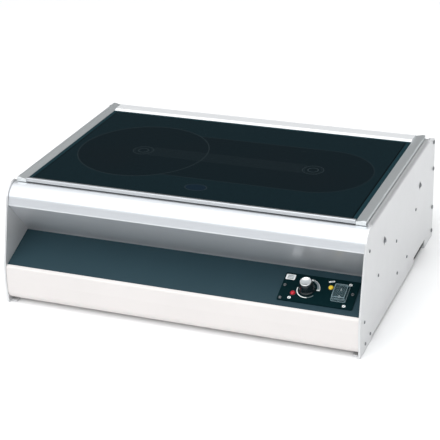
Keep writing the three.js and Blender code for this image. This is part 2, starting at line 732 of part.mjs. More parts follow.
function regulatorNut() {
  const z = [PLATE_FACE + CLEAR, NUT_TOP];
  const nut = prism(hexagon(2 * BUSH_RADIUS + 3.4), 'z', ...z);
  return cut(join(nut), rod(BUSH_RADIUS + CLEAR, z[0] - 1, z[1] + 1, 20));
}

function regulatorShaft() {
  return join(rod(SHAFT_RADIUS, REGULATOR_TOP - REGULATOR_DEPTH + 2.5, KNOB_HEIGHT - 4, 20));
}

function knobBody() {
  const skirt = PLATE_FACE + 0.6;
  const cavity = BUSH_TOP + 0.5;
  return join(turned([
    [0, KNOB_HEIGHT - 3.5],
    [BORE_RADIUS, KNOB_HEIGHT - 3.5],
    [BORE_RADIUS, cavity],
    [KNOB_RADIUS - 3, cavity],
    [KNOB_RADIUS - 3, skirt],
    [KNOB_RADIUS, skirt],
    [KNOB_RADIUS, skirt + 2.4],
    [KNOB_RADIUS - 0.8, skirt + 3.4],
    [KNOB_RADIUS - 3, KNOB_HEIGHT - 0.6],
    [KNOB_RADIUS - 3.6, KNOB_HEIGHT],
    [0, KNOB_HEIGHT],
  ], 36));
}

function knobCap() {
  const foot = KNOB_HEIGHT + CLEAR;
  return join(turned([
    [0, foot],
    [KNOB_RADIUS - 4.1, foot],
    [KNOB_RADIUS - 4, foot + 0.8],
    [KNOB_RADIUS - 4.6, foot + 1.4],
    [0, foot + 1.4],
  ], 36));
}

const ROCKER = [14.4, 19.8];           // across the switch and along its tilt
const ROCKER_PIVOT = PLATE_FACE - 1.2; // height of the rocker's axis above the fascia
const ROCKER_TILT = THREE.MathUtils.degToRad(10);

function switchHousing() {
  const [cutX, cutY] = SWITCH_CUTOUT;
  const [x, y] = [cutX / 2 - CLEAR, cutY / 2 - CLEAR];
  const seat = PLATE_FACE + CLEAR;
  const body = join(
    block([-x, x], [-y, y], [-20, seat + 0.5]),
    prism(rectangle([-x - 1.5, x + 1.5], [-y - 1.6, y + 1.6], 1.5), 'z', seat, seat + 1.5),
  );
  const wellX = ROCKER[0] / 2 + 0.5;
  const wellY = ROCKER[1] / 2 + 1.2;
  return cut(body, block([-wellX, wellX], [-wellY, wellY], [ROCKER_PIVOT - 6.6, seat + 3]));
}

function switchRocker() {
  const end = ROCKER[1] / 2;
  const profile = [
    [-4, -4], [4, -4], [end - 0.3, 0], [end, 4.6], [0, 2.8], [-end, 4.6], [-end + 0.3, 0],
  ];
  const body = prism(profile, 'x', -ROCKER[0] / 2, ROCKER[0] / 2);
  return join(body.rotateX(ROCKER_TILT).translate(0, 0, ROCKER_PIVOT));
}

function switchCover() {
  const foot = PLATE_FACE + CLEAR;
  const top = foot + 7.5;
  const base = [SWITCH_CUTOUT[0] + 5.8, SWITCH_CUTOUT[1] + 8.9];
  const roof = [SWITCH_CUTOUT[0] + 1.8, SWITCH_CUTOUT[1] + 1.4];
  const inner = [base, roof].map((size) => size.map((value) => value - 2));
  return cut(join(frustum(base, roof, foot, top)), frustum(...inner, foot - 1, top - 1));
}

function lampLens() {
  const seat = PLATE_FACE + CLEAR;
  const radius = LAMP_HOLE_RADIUS - 0.4;
  return join(turned([
    [0, -12],
    [radius, -12],
    [radius, seat],
    [LAMP_HOLE_RADIUS + 0.8, seat],
    [LAMP_HOLE_RADIUS + 0.8, seat + 0.7],
    [LAMP_HOLE_RADIUS, seat + 1],
    [3.2, seat + 2.4],
    [1.8, seat + 3.1],
    [0, seat + 3.4],
  ], 18));
}

function controlBoard() {
  const [z0, z1] = [-30, -28.4];
  const card = prism(rectangle([-54, 54], [8, 70], 2), 'z', z0, z1);
  const posts = [[-50, 12], [50, 12], [-50, 66], [50, 66]];
  return join(card, ...posts.map(([x, rise]) => (
    rod(2.5, z1 - 0.5, -SKIN - CLEAR, 10).translate(x, rise, 0)
  )));
}

function controlPieces() {
  const at = (mesh, [x, rise]) => {
    mesh.position.set(x, rise, 0);
    return mesh;
  };
  const group = new THREE.Group();
  group.position.set(CONTROL_X, ...FASCIA_FOOT);
  group.rotation.x = FASCIA_SLOPE;
  group.add(
    part('control_plate', 'black_plastic', controlPlate()),
    part('control_board', 'board', controlBoard()),
    at(part('regulator_body', 'galvanised', regulatorBody()), KNOB_AT),
    at(part('regulator_nut', 'screw_steel', regulatorNut()), KNOB_AT),
    at(part('regulator_shaft', 'screw_steel', regulatorShaft()), KNOB_AT),
    at(part('knob_body', 'black_plastic', knobBody()), KNOB_AT),
    at(part('knob_cap', 'bright_cap', knobCap()), KNOB_AT),
    at(part('switch_housing', 'black_plastic', switchHousing()), SWITCH_AT),
    at(part('switch_rocker', 'black_plastic', switchRocker()), SWITCH_AT),
    at(part('switch_cover', 'clear_cover', switchCover()), SWITCH_AT),
    at(part('red_lamp', 'red_lens', lampLens()), RED_LAMP_AT),
    at(part('yellow_lamp', 'yellow_lens', lampLens()), YELLOW_LAMP_AT),
  );
  PLATE_SCREWS.forEach((place, i) => {
    group.add(at(part(`control_plate_screw_${i + 1}`, 'black_plastic', plateScrew()), place));
  });
  return group;
}

// ---------------------------------------------------------------- coil units
const MICA_TOP = GLASS_BOTTOM - CLEAR;
const MICA = 1;
const COIL_TOP = MICA_TOP - MICA - CLEAR;
const CARRIER_TOP = COIL_TOP - COIL_THICKNESS - CLEAR;
const CARRIER_BOTTOM = CARRIER_TOP - CARRIER_THICKNESS;
const FERRITE = 5;
const SENSOR_RADIUS = 6;

function coilTray() {
  const flangeFoot = TRAY_TOP - 23;
  const path = rounded([
    [-INNER, flangeFoot], [-INNER, TRAY_TOP, FOLD],
    [INNER, TRAY_TOP, FOLD], [INNER, flangeFoot],
  ], false, 3);
  const sheet = prism(folded(path, -SKIN), 'y', APEX[0] + 28, REAR - 66);
  const openings = Object.values(COILS).map((x) => (
    rod(55, TRAY_TOP - SKIN - 1, TRAY_TOP + 1, 36).translate(x, COIL_Y, 0)
  ));
  const holes = [1, -1].flatMap((side) => (
    TRAY_SLOTS.map(([slotY, z]) => toSide(rod(HOLE_RADIUS, -9, 3, 12), side, slotY, z))
  ));
  return cut(join(sheet), ...openings, ...holes);
}

function coilCarrier() {
  const legs = [30, 150, 270].map((degrees) => {
    const angle = THREE.MathUtils.degToRad(degrees);
    const leg = turned([
      [0, TRAY_TOP + CLEAR],
      [7, TRAY_TOP + CLEAR],
      [7, TRAY_TOP + 3],
      [4, TRAY_TOP + 4],
      [4, CARRIER_BOTTOM + 0.5],
      [0, CARRIER_BOTTOM + 0.5],
    ], 12);
    return leg.translate(82 * Math.cos(angle), 82 * Math.sin(angle), 0);
  });
  return join(rod(CARRIER_RADIUS, CARRIER_BOTTOM, CARRIER_TOP, 36), ...legs);
}

function ferriteStar() {
  const [z0, z1] = [CARRIER_BOTTOM - CLEAR - FERRITE, CARRIER_BOTTOM - CLEAR];
  const bars = [0, 1, 2].map((i) => (
    block([-COIL_RADIUS, COIL_RADIUS], [-7, 7], [z0, z1]).rotateZ((i * Math.PI) / 3)
  ));
  return join(rod(20, z0, z1, 24), ...bars);
}

function coilWinding() {
  const [z0, z1] = [CARRIER_TOP + CLEAR, COIL_TOP];
  return join(ring(28, COIL_RADIUS, z0, z1));
}

function micaDisc() {
  return join(ring(SENSOR_RADIUS + 1.5, CARRIER_RADIUS - 1, MICA_TOP - MICA, MICA_TOP));
}

function temperatureSensor() {
  return join(rod(SENSOR_RADIUS, CARRIER_TOP + CLEAR, MICA_TOP, 20));
}

function coilUnit(side) {
  const group = new THREE.Group();
  group.position.set(COILS[side], COIL_Y, 0);
  group.add(
    part(`coil_carrier_${side}`, 'black_plastic', coilCarrier()),
    part(`ferrite_star_${side}`, 'ferrite', ferriteStar()),
    part(`coil_winding_${side}`, 'copper', coilWinding()),
    part(`mica_disc_${side}`, 'mica', micaDisc()),
    part(`temperature_sensor_${side}`, 'bright_cap', temperatureSensor()),
  );
  return group;
}

// ---------------------------------------------------------------- power electronics and cooling
const BOARD_X = [-HALF + 85, -HALF + 360];
const BOARD_Y = [REAR - 340, REAR - 120];
const SINK_Y = [REAR - 290, REAR - 130];
const SINK_HALF = 45;

function boardPosts() {
  const [x0, x1] = BOARD_X;
  const [y0, y1] = BOARD_Y;
  return [[x0 + 6, y0 + 6], [x1 - 6, y0 + 6], [x0 + 6, y1 - 6], [x1 - 6, y1 - 6]];
}

function powerBoard() {
  return join(prism(rectangle(BOARD_X, BOARD_Y, 3), 'z', BOARD_BOTTOM, BOARD_TOP));
}

function heatSink() {
  const foot = BOARD_TOP + CLEAR;
  const across = [FAN[0] - SINK_HALF, FAN[0] + SINK_HALF];
  const fins = [];
  for (let i = 0; i < 10; i += 1) {
    const x = across[0] + i * ((2 * SINK_HALF - 2) / 9);
    fins.push(block([x, x + 2], SINK_Y, [foot + 5, foot + 46]));
  }
  return join(block(across, SINK_Y, [foot, foot + 6]), ...fins);
}

function boardBox(x, y, [width, depth, height]) {
  const foot = BOARD_TOP + CLEAR;
  const outline = rectangle([x - width / 2, x + width / 2], [y - depth / 2, y + depth / 2], 2);
  return join(prism(outline, 'z', foot, foot + height));
}

function choke() {
  const foot = BOARD_TOP + CLEAR;
  return turned([
    [9, foot + 2], [11, foot], [20, foot], [22, foot + 2],
    [22, foot + 16], [20, foot + 18], [11, foot + 18], [9, foot + 16], [9, foot + 2],
  ], 20);
}

function terminalBlock() {
  const foot = PAN_TOP + CLEAR;
  const [x, y] = [BUSHING_AT[0], REAR_PANEL - 55];
  const wells = [-16, 0, 16].map((step) => rod(4.5, foot + 12, foot + 30).translate(x + step, y, 0));
  return cut(join(block([x - 25, x + 25], [y - 13, y + 13], [foot, foot + 22])), ...wells);
}

function cableBushing() {
  return join(onRearPanel(turned([
    [6, -9], [BUSHING_HOLE - CLEAR, -9], [BUSHING_HOLE - CLEAR, CLEAR], [15, CLEAR],
    [15, CLEAR + 2.5], [12, CLEAR + 3.5], [9.5, 11], [8.5, 11.6], [6, 11.6], [6, -9],
  ], 24)));
}

function bushingNut() {
  const z = [-SKIN - CLEAR - 4, -SKIN - CLEAR];
  const body = join(onRearPanel(prism(hexagon(27), 'z', ...z)));
  return cut(body, onRearPanel(rod(BUSHING_HOLE, z[0] - 1, z[1] + 1, 24)));
}

// Fan pieces are made about their own axis, +Z towards the rear panel.
const FAN_AXLE = 2;
const FAN_BORE = FAN_AXLE + CLEAR;
const ROTOR_RADIUS = FAN_SIZE / 2 - 5.5;

function fanHousing() {
  const half = FAN_SIZE / 2;
  const shell = prism(rectangle([-half, half], [-half, half], 5), 'z', -FAN_DEPTH, 0);
  const hollow = rod(ROTOR_RADIUS + 1.5, -FAN_DEPTH - 1, 1, 40);
  const struts = [0, 1].map((i) => (
    block([-half + 2, half - 2], [-2.5, 2.5], [-3.5, -0.5]).rotateZ(Math.PI / 4 + (i * Math.PI) / 2)
  ));
  const motor = rod(19, -4.5, -0.5, 24);
  const axle = rod(FAN_AXLE, -FAN_DEPTH + 5, -4, 16);
  return cut(join(shell), hollow).add(join(motor, axle, ...struts));
}

function fanRotor() {
  const hub = ring(FAN_BORE, 19, -FAN_DEPTH + 2, -5.5, 24);
  const blades = [];
  for (let i = 0; i < 7; i += 1) {
    const blade = new THREE.BoxGeometry(ROTOR_RADIUS - 17, 22, 1.6)
      .rotateX(THREE.MathUtils.degToRad(35))
      .translate((ROTOR_RADIUS + 17) / 2, 0, -FAN_DEPTH / 2 - 1.5)
      .rotateZ((i * 2 * Math.PI) / 7);
    blades.push(blade);
  }
  const disc = rod(ROTOR_RADIUS, -FAN_DEPTH + 2, -5.5, 36);
  return join(hub, ...blades).intersect(solid(disc));
}

function fan() {
  const group = new THREE.Group();
  group.position.set(...FAN);
  group.rotation.x = -Math.PI / 2;
  group.add(
    part('fan_housing', 'black_plastic', fanHousing()),
    part('fan_rotor', 'black_plastic', fanRotor()),
  );
  return group;
}

function airGuide() {
  const half = FAN_SIZE / 2 + 1;
  const [x0, x1] = [FAN[0] - half, FAN[0] + half];
  const foot = BOARD_TOP + CLEAR;
  const path = [[x0, foot], [x0, FAN[2] + half], [x1, FAN[2] + half], [x1, foot]];
  const rear = FAN[1] - FAN_DEPTH - CLEAR;
  return join(prism(folded(path, -1.2), 'y', SINK_Y[1] + CLEAR, rear));
}

// ---------------------------------------------------------------- assembly
const hob = new THREE.Group();
for (const [name, side] of [['right', 1], ['left', -1]]) {
  hob.add(part(`side_plate_${name}`, 'side_sheet', sidePlate(side)));
  hob.add(part(`rail_${name}`, 'frame', sideRail(side)));
  hob.add(part(`side_bracket_${name}`, 'galvanised', sideBracket(side)));
  hob.add(coilUnit(name));
  REAR_SCREWS.forEach((at, i) => {
    hob.add(part(`rear_screw_${name}_${i + 1}`, 'screw_steel', sideScrew(side, at)));
  });
}
hob.add(
  part('rail_front', 'frame', frontRail()),
  part('rail_rear', 'frame', rearRail()),
  part('glass_plate', 'glass_top', glassPlate()),
  part('glass_seal', 'grey_rubber', glassSeal()),
  part('nose_cover', 'front_skin', noseCover()),
  part('control_fascia', 'fascia', controlFascia()),
  part('lower_front_panel', 'panel', lowerFrontPanel()),
  part('rear_cover', 'galvanised', rearCover()),
  part('rear_panel', 'galvanised', rearPanel()),
  part('base_pan', 'galvanised', basePan()),
  controlPieces(),
  part('coil_tray', 'galvanised', coilTray()),
  part('power_board', 'board', powerBoard()),
  part('heat_sink', 'frame', heatSink()),
  part('capacitor', 'yellow_lens', boardBox(BOARD_X[1] - 40, BOARD_Y[0] + 80, [42, 26, 32])),
  part('choke', 'copper', join(choke().translate(BOARD_X[1] - 40, BOARD_Y[1] - 45, 0))),
  part('terminal_block', 'black_plastic', terminalBlock()),
  part('cable_bushing', 'black_plastic', cableBushing()),
  part('bushing_nut', 'black_plastic', bushingNut()),
  fan(),
  part('air_guide', 'black_plastic', airGuide()),
);

export default hob;
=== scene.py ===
"""Looks of a table-top induction hob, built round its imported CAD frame.

The scene is in metres, with +X right, +Y back and +Z up. The control panel's pieces and the side
screws are drawn in millimetres and scaled by MM."""

import json
import math

import bmesh
import bpy
from mathutils import Matrix, Vector


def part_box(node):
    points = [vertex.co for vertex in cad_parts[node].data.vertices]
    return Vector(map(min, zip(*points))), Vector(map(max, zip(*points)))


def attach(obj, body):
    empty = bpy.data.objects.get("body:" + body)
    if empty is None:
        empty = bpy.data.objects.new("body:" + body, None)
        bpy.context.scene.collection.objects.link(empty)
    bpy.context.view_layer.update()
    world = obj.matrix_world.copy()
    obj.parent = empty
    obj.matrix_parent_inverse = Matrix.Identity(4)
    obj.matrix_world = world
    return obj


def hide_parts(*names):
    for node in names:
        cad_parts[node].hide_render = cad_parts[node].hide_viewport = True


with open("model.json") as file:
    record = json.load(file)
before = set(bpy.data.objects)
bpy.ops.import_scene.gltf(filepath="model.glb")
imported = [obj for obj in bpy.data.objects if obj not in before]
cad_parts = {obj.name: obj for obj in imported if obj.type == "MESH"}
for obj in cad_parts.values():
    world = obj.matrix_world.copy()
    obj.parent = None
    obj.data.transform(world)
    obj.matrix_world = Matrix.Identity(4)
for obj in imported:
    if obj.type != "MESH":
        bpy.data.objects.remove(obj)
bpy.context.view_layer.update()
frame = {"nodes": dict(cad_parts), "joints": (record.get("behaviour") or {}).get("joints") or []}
NODES = frame["nodes"]
MM = 0.001


# ---------------------------------------------------------------- fields and materials
class Field:
    """A number that varies over a surface, made of Math nodes."""

    def __init__(self, tree, socket):
        self.tree = tree
        self.socket = socket

    def math(self, operation, *others, clamp=False):
        node = self.tree.nodes.new("ShaderNodeMath")
        node.operation = operation
        node.use_clamp = clamp
        for slot, value in zip(node.inputs, (self, *others)):
            if isinstance(value, Field):
                self.tree.links.new(value.socket, slot)
            else:
                slot.default_value = value
        return Field(self.tree, node.outputs[0])

    def __add__(self, other):
        return self.math("ADD", other)

    def __sub__(self, other):
        return self.math("SUBTRACT", other)

    def __mul__(self, other):
        return self.math("MULTIPLY", other)

    def size(self):
        return self.math("ABSOLUTE")

    def least(self, other):
        return self.math("MINIMUM", other)

    def most(self, other):
        return self.math("MAXIMUM", other)

    def hypot(self, other):
        return (self * self + other * other).math("SQRT")

    def inside(self, soft=0.0003):
        """1 where this distance is below zero and 0 where it is above."""
        return self.math("MULTIPLY_ADD", -1 / soft, 0.5, clamp=True)

    def line(self, width):
        """1 on a line of that width where this distance is zero."""
        return (self.size() - width / 2).inside()


class Finish:
    """A material with one Principled shader, and the fields that feed it."""

    def __init__(self, name, colour, roughness, metallic=0.0, **sockets):
        self.material = bpy.data.materials.new(name)
        self.material.use_nodes = True
        self.tree = self.material.node_tree
        self.shader = self.tree.nodes["Principled BSDF"]
        self.colour = (*colour, 1.0)
        self.roughness = roughness
        self.shader.inputs["Base Color"].default_value = self.colour
        self.shader.inputs["Roughness"].default_value = roughness
        self.shader.inputs["Metallic"].default_value = metallic
        for socket, value in sockets.items():
            self.shader.inputs[socket.replace("_", " ")].default_value = value
        coordinates = self.tree.nodes.new("ShaderNodeTexCoord")
        self.place = coordinates.outputs["Object"]
        split = self.tree.nodes.new("ShaderNodeSeparateXYZ")
        self.tree.links.new(self.place, split.inputs[0])
        self.x, self.y, self.z = (Field(self.tree, out) for out in split.outputs)

    def stretched(self, stretch):
        mapping = self.tree.nodes.new("ShaderNodeMapping")
        mapping.inputs["Scale"].default_value = stretch
        self.tree.links.new(self.place, mapping.inputs["Vector"])
        return mapping.outputs["Vector"]

    def noise(self, scale, detail=3.0, stretch=(1, 1, 1)):
        node = self.tree.nodes.new("ShaderNodeTexNoise")
        node.inputs["Scale"].default_value = scale
        node.inputs["Detail"].default_value = detail
        self.tree.links.new(self.stretched(stretch), node.inputs["Vector"])
        return Field(self.tree, node.outputs[0])

    def cells(self, scale, output="Color", stretch=(1, 1, 1)):
        node = self.tree.nodes.new("ShaderNodeTexVoronoi")
        node.inputs["Scale"].default_value = scale
        self.tree.links.new(self.stretched(stretch), node.inputs["Vector"])
        return Field(self.tree, node.outputs[output])

    def tint(self, field, colour):
        """Mixes the base colour towards another one where the field is 1."""
        node = self.tree.nodes.new("ShaderNodeMix")
        node.data_type = "RGBA"
        self.tree.links.new(field.socket, node.inputs["Factor"])
        base = self.shader.inputs["Base Color"]
        if base.is_linked:
            self.tree.links.new(base.links[0].from_socket, node.inputs["A"])
        else:
            node.inputs["A"].default_value = self.colour
        node.inputs["B"].default_value = (*colour, 1.0)
        self.tree.links.new(node.outputs["Result"], base)
        return self

    def vary(self, field, amount):
        """Lightens and darkens the base colour by up to that share."""
        low = [v * (1 - amount) for v in self.colour[:3]]
        self.colour = (*[min(1.0, v * (1 + amount)) for v in self.colour[:3]], 1.0)
        return self.tint(field, low)

    def gloss(self, field, amount):
        rough = (field - 0.5) * (2 * amount) + self.roughness
        self.tree.links.new(rough.socket, self.shader.inputs["Roughness"])
        return self

    def bump(self, field, depth, strength):
        node = self.tree.nodes.new("ShaderNodeBump")
        node.inputs["Strength"].default_value = strength
        node.inputs["Distance"].default_value = depth
        self.tree.links.new(field.socket, node.inputs["Height"])
        self.tree.links.new(node.outputs["Normal"], self.shader.inputs["Normal"])
        return self


def coated(name, colour, roughness, metallic=0.0, grain=1400, depth=0.00004, **sockets):
    """Powder coat or moulded plastic: a fine even grain over a slight mottle."""
    made = Finish(name, colour, roughness, metallic, **sockets)
    made.vary(made.noise(14, 4), 0.035).gloss(made.noise(60, 5), 0.05)
    return made.bump(made.noise(grain, 2), depth, 0.35)


def brushed(name, colour, roughness, along="x", metallic=1.0, depth=0.000005, **sockets):
    """Metal with fine brush marks that run along one axis."""
    stretch = tuple(0.012 if axis == along else 1.0 for axis in "xyz")
    made = Finish(name, colour, roughness, metallic, **sockets)
    marks = made.noise(1500, 6, stretch)
    return made.vary(marks, 0.04).gloss(made.noise(600, 4, stretch), 0.03).bump(marks, depth, 0.25)


def front_rail():
    """Brushed rail with a painted shadow line along its foot, for the shade in the gap above the
    nose cover.
    """
    made = brushed("anodised_frame_front", (0.50, 0.52, 0.54), 0.34, metallic=0.8)
    shadow_band = 2.2 * MM
    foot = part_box("nose_cover")[1].z + shadow_band
    # painted shadow: a dark band along the rail's foot, where the gap under it lies in shade
    return made.tint((made.z - foot).inside(), (0.045, 0.05, 0.055))


def rear_rail():
    """Pale brushed rail with a dark line along its rear edge."""
    made = brushed("anodised_frame_rear", (0.84, 0.85, 0.86), 0.34, metallic=0.25)
    line = 1.6 * MM
    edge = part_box("rail_rear")[1].y - line
    return made.tint((made.y * -1 + edge).inside(), (0.20, 0.235, 0.25))


def galvanised(name, colour, share):
    """Zinc sheet, whose spangle varies the colour by that share."""
    made = Finish(name, colour, 0.42, 0.9)
    spangle = made.cells(130)
    return made.vary(spangle, share).gloss(spangle, 0.06).bump(made.noise(500, 4), 0.00003, 0.3)


def windings():
    """Litz wire laid in a flat spiral round each coil's middle."""
    made = Finish("litz_copper", (0.52, 0.23, 0.10), 0.38, 0.85)
    pitch = 3.6 * MM
    low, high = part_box("coil_winding_left")
    far_low, far_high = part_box("coil_winding_right")
    y = made.y - (low.y + high.y) / 2
    radius = None
    for middle in ((low.x + high.x) / 2, (far_low.x + far_high.x) / 2):
        reach = (made.x - middle).hypot(y)
        radius = radius.least(reach) if radius else reach
    groove = (radius * (2 * math.pi / pitch)).math("SINE") * 0.5 + 0.5
    strands = made.noise(2600, 2)
    made.vary(groove, 0.25).gloss(strands, 0.1)
    return made.bump(groove + strands * 0.3, 0.0005, 0.7)


def circuit_board():
    """Green board with paler tracks."""
    made = Finish("circuit_board", (0.025, 0.16, 0.07), 0.4)
    cells = made.cells(220, "Distance", (1, 1, 0.01))
    tracks = (cells - 0.42).line(0.05)
    made.tint(tracks, (0.05, 0.27, 0.12)).gloss(made.noise(90), 0.08)
    return made.bump(tracks, 0.00004, 0.5)


ROUND_ZONE = 0.1105  # radius
LONG_ZONE = 0.0872  # radius of its ends
LONG_ZONE_START = 0.06  # from the round zone's middle to the long zone's
LONG_ZONE_RUN = 0.2505  # between the middles of its ends
RAIL_REFLECTION_WIDTH = 0.0078  # width of the painted reflection of the rails, a pale strip along the edges


def glass_top():
    """Dark glass-ceramic with its cooking zones printed from below, and a painted reflection of the
    rails along its side and rear edges.
    """
    left, right = (
        sum(corner.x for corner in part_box(f"coil_winding_{side}")) / 2
        for side in ("left", "right")
    )
    low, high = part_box("coil_winding_left")
    made = Finish("glass_ceramic", (0.0046, 0.0128, 0.0166), 0.09, Specular_IOR_Level=0.12)
    y = made.y - (low.y + high.y) / 2
    big = (made.x - left).hypot(y) - ROUND_ZONE
    start = left + LONG_ZONE_START
    run = (made.x - start).most(0).least(LONG_ZONE_RUN)
    oblong = (made.x - start - run).hypot(y) - LONG_ZONE
    zones = big.inside().most(oblong.inside())
    dots = (made.cells(620, "Distance", (1, 1, 0.001)) - 0.32).inside(0.08)
    grain = made.noise(900, 2)
    made.tint(dots * (zones * -1 + 1) * 0.55, (0.0082, 0.0228, 0.0280))
    made.tint(zones * 0.85, (0.0040, 0.0090, 0.0118))
    warm = (made.noise(5, 1) - 0.45).math("MULTIPLY", 2.0, clamp=True)
    made.tint(warm * zones * 0.35, (0.0085, 0.0082, 0.0100))
    lines = big.line(0.0016) * 0.75
    hidden = big.inside() * -1 + 1
    lines = lines.most(oblong.line(0.0012) * hidden * 0.5)
    for middle in (left, right):
        reach = (made.x - middle).hypot(y)
        marks = (reach - 0.0172).line(0.0011).most((reach - 0.0145).line(0.0008) * 0.6)
        lines = lines.most(marks.most((reach - 0.0085).line(0.0018)))
    strip_length, strip_width = 0.135, 0.0178
    between = (made.x - (left + right) / 2).size() - strip_length
    rows = ((y + 0.0175).math("PINGPONG", 0.00225) - 0.0011).line(0.0006)
    strip = (y.size() - strip_width).inside() * between.inside()
    lines = lines.most(rows * strip * 0.5)
    oval_width, oval_length, oval_front = 0.018, 0.0125, 0.124
    oval = (made.x * (1 / oval_width)).hypot((made.y + oval_front) * (1 / oval_length)) - 1
    lines = lines.most((oval * oval_length).line(0.0011) * 0.8)
    made.tint(oval.inside(0.02), (0.0052, 0.0140, 0.0235))
    made.tint(lines, (0.020, 0.030, 0.034))
    low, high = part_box("glass_plate")
    side = made.x.size() * -1 + high.x
    rail_reflection = side.least(made.y * -1 + high.y) - RAIL_REFLECTION_WIDTH
    # painted reflection of the rails in the glass: a paler strip along the side and rear edges,
    # with a dark painted line at its inner edge
    made.tint(rail_reflection.inside(), (0.0100, 0.0310, 0.0395))
    made.tint(rail_reflection.line(0.0019), (0.0006, 0.0010, 0.0012))
    return made.gloss(grain, 0.03).bump(grain, 0.00001, 0.12)


def clear_plastic():
    """The thin flexible sheet of the splash guard."""
    made = Finish("clear_cover", (0.16, 0.27, 0.30), 0.08, Alpha=0.10, Coat_Weight=0.15)
    return made.gloss(made.noise(120, 2), 0.03).bump(made.noise(260, 1), 0.00001, 0.1)


def lens(name, colour):
    """Ribbed lamp plastic that glows a little."""
    made = Finish(
        name, colour, 0.2, Coat_Weight=0.2, Specular_IOR_Level=0.3, Transmission_Weight=0.15,
        Emission_Color=(*colour, 1), Emission_Strength=0.08,
    )
    ribs = made.cells(900, "Distance")
    return made.vary(made.noise(700, 2), 0.25).gloss(ribs, 0.08).bump(ribs, 0.0001, 0.4)


def mica():
    """Pressed flakes."""
    made = Finish("mica_paper", (0.50, 0.42, 0.30), 0.6)
    flakes = made.cells(260)
    return made.vary(flakes, 0.14).gloss(flakes, 0.12).bump(made.noise(900), 0.00005, 0.4)


MADE = {
    "side_sheet": coated("satin_side_sheet", (0.63, 0.635, 0.64), 0.38, 0.5),
    "front_skin": brushed(
        "satin_front_skin", (0.66, 0.68, 0.705), 0.30, metallic=0.62, depth=0.000003,
    ),
    "fascia": coated("anthracite_coat", (0.020, 0.044, 0.056), 0.5, Specular_IOR_Level=0.10),
    "panel": coated("satin_panel", (0.665, 0.635, 0.62), 0.42, 0.1),
    "frame_front": front_rail(),
    "frame_rear": rear_rail(),
    "frame_side": brushed(
        "anodised_frame_side", (0.74, 0.77, 0.78), 0.36, along="y", metallic=0.72,
    ),
    "glass": glass_top(),
    "seal": coated("silicone_seal", (0.012, 0.014, 0.015), 0.6),
    "zinc": galvanised("zinc_spangle", (0.50, 0.52, 0.53), 0.07),
    # painted shade: zinc sheet drawn far darker than it is, for the shade inside the case
    "zinc_in_painted_shade": galvanised("zinc_spangle_painted_shade", (0.10, 0.105, 0.11), 0.15),
    "plate": coated(
        "black_control_plate", (0.0015, 0.0125, 0.0150), 0.55, grain=2200, Specular_IOR_Level=0.03,
    ),
    "black": coated("black_plastic", (0.012, 0.015, 0.017), 0.38, grain=2000),
    "rocker": coated(
        "rocker_plastic", (0.004, 0.014, 0.018), 0.4, grain=2600, depth=0.000005,
        Specular_IOR_Level=0.12,
    ),
    "knob": coated("knob_plastic", (0.005, 0.011, 0.014), 0.22, grain=2600, depth=0.00001),
    "cap": brushed("knob_disc", (0.78, 0.79, 0.79), 0.32, depth=0.00003),
    "cover": clear_plastic(),
    "cover_edge": coated("frosted_cover_edge", (0.22, 0.31, 0.34), 0.3, grain=2400),
    "red": lens("red_lens", (0.46, 0.004, 0.018)),
    "yellow": lens("yellow_lens", (0.78, 0.55, 0.03)),
    "copper": windings(),
    "ferrite": coated("ferrite", (0.035, 0.036, 0.038), 0.62, 0.1, grain=700),
    "mica": mica(),
    "sensor": brushed("sensor_can", (0.70, 0.71, 0.72), 0.3),
    "board": circuit_board(),
    "sink": brushed("extruded_sink", (0.55, 0.56, 0.58), 0.4, along="y"),
    "capacitor": coated("capacitor_case", (0.62, 0.38, 0.03), 0.35),
    "dark_steel": brushed("black_screw", (0.10, 0.11, 0.115), 0.24, metallic=0.9),
    "steel": brushed("screw_steel", (0.22, 0.23, 0.24), 0.30),
    "white_print": coated("white_print", (0.80, 0.82, 0.82), 0.5),
    "grey_print": coated("grey_print", (0.16, 0.20, 0.21), 0.5),
    "black_print": coated("black_print", (0.008, 0.012, 0.014), 0.5),
}

# the CAD nodes that wear each finish; every other node wears steel
WORN_BY = {
    "side_sheet": ("side_plate_left", "side_plate_right"),
    "front_skin": ("nose_cover",),
    "fascia": ("control_fascia",),
    "panel": ("lower_front_panel",),
    "frame_front": ("rail_front",),
    "frame_rear": ("rail_rear",),
    "frame_side": ("rail_left", "rail_right"),
    "glass": ("glass_plate",),
    "seal": ("glass_seal",),
    "zinc": (
        "rear_cover", "rear_panel", "side_bracket_left", "side_bracket_right", "regulator_body",
    ),
    # the base pan and coil tray wear zinc darkened as painted shade for the inside of the case
    "zinc_in_painted_shade": ("base_pan", "coil_tray"),
    "plate": ("control_plate",),
    "black": (
        "coil_carrier_left", "coil_carrier_right", "terminal_block", "cable_bushing", "bushing_nut",
        "fan_housing", "fan_rotor", "air_guide",
    ),
    "rocker": ("switch_housing", "switch_rocker"),
    "knob": ("knob_body",),
    "cap": ("knob_cap",),
    "cover": ("switch_cover",),
    "red": ("red_lamp",),
    "yellow": ("yellow_lamp",),
    "copper": ("coil_winding_left", "coil_winding_right", "choke"),
    "ferrite": ("ferrite_star_left", "ferrite_star_right"),
    "mica": ("mica_disc_left", "mica_disc_right"),
    "sensor": ("temperature_sensor_left", "temperature_sensor_right"),
    "board": ("power_board", "control_board"),
    "sink": ("heat_sink",),
    "capacitor": ("capacitor",),
    "dark_steel": tuple(f"control_plate_screw_{i}" for i in (1, 2, 3)),
    "steel": ("regulator_nut", "regulator_shaft"),
}

# edge radius in mm by the start of a node's name
PLAIN_ROUNDING = 0.25
ROUNDING = {
    "side_plate": 0.5, "rail": 0.25, "glass_plate": 0.5, "nose_cover": 0.2,
    "lower_front_panel": 0.2, "control_fascia": 0.2, "control_plate": 0.35, "rear_cover": 0.2,
    "rear_panel": 0.2, "switch_rocker": 0.4, "switch_housing": 0.3, "cable_bushing": 0.4,
    "fan_housing": 0.5,
}


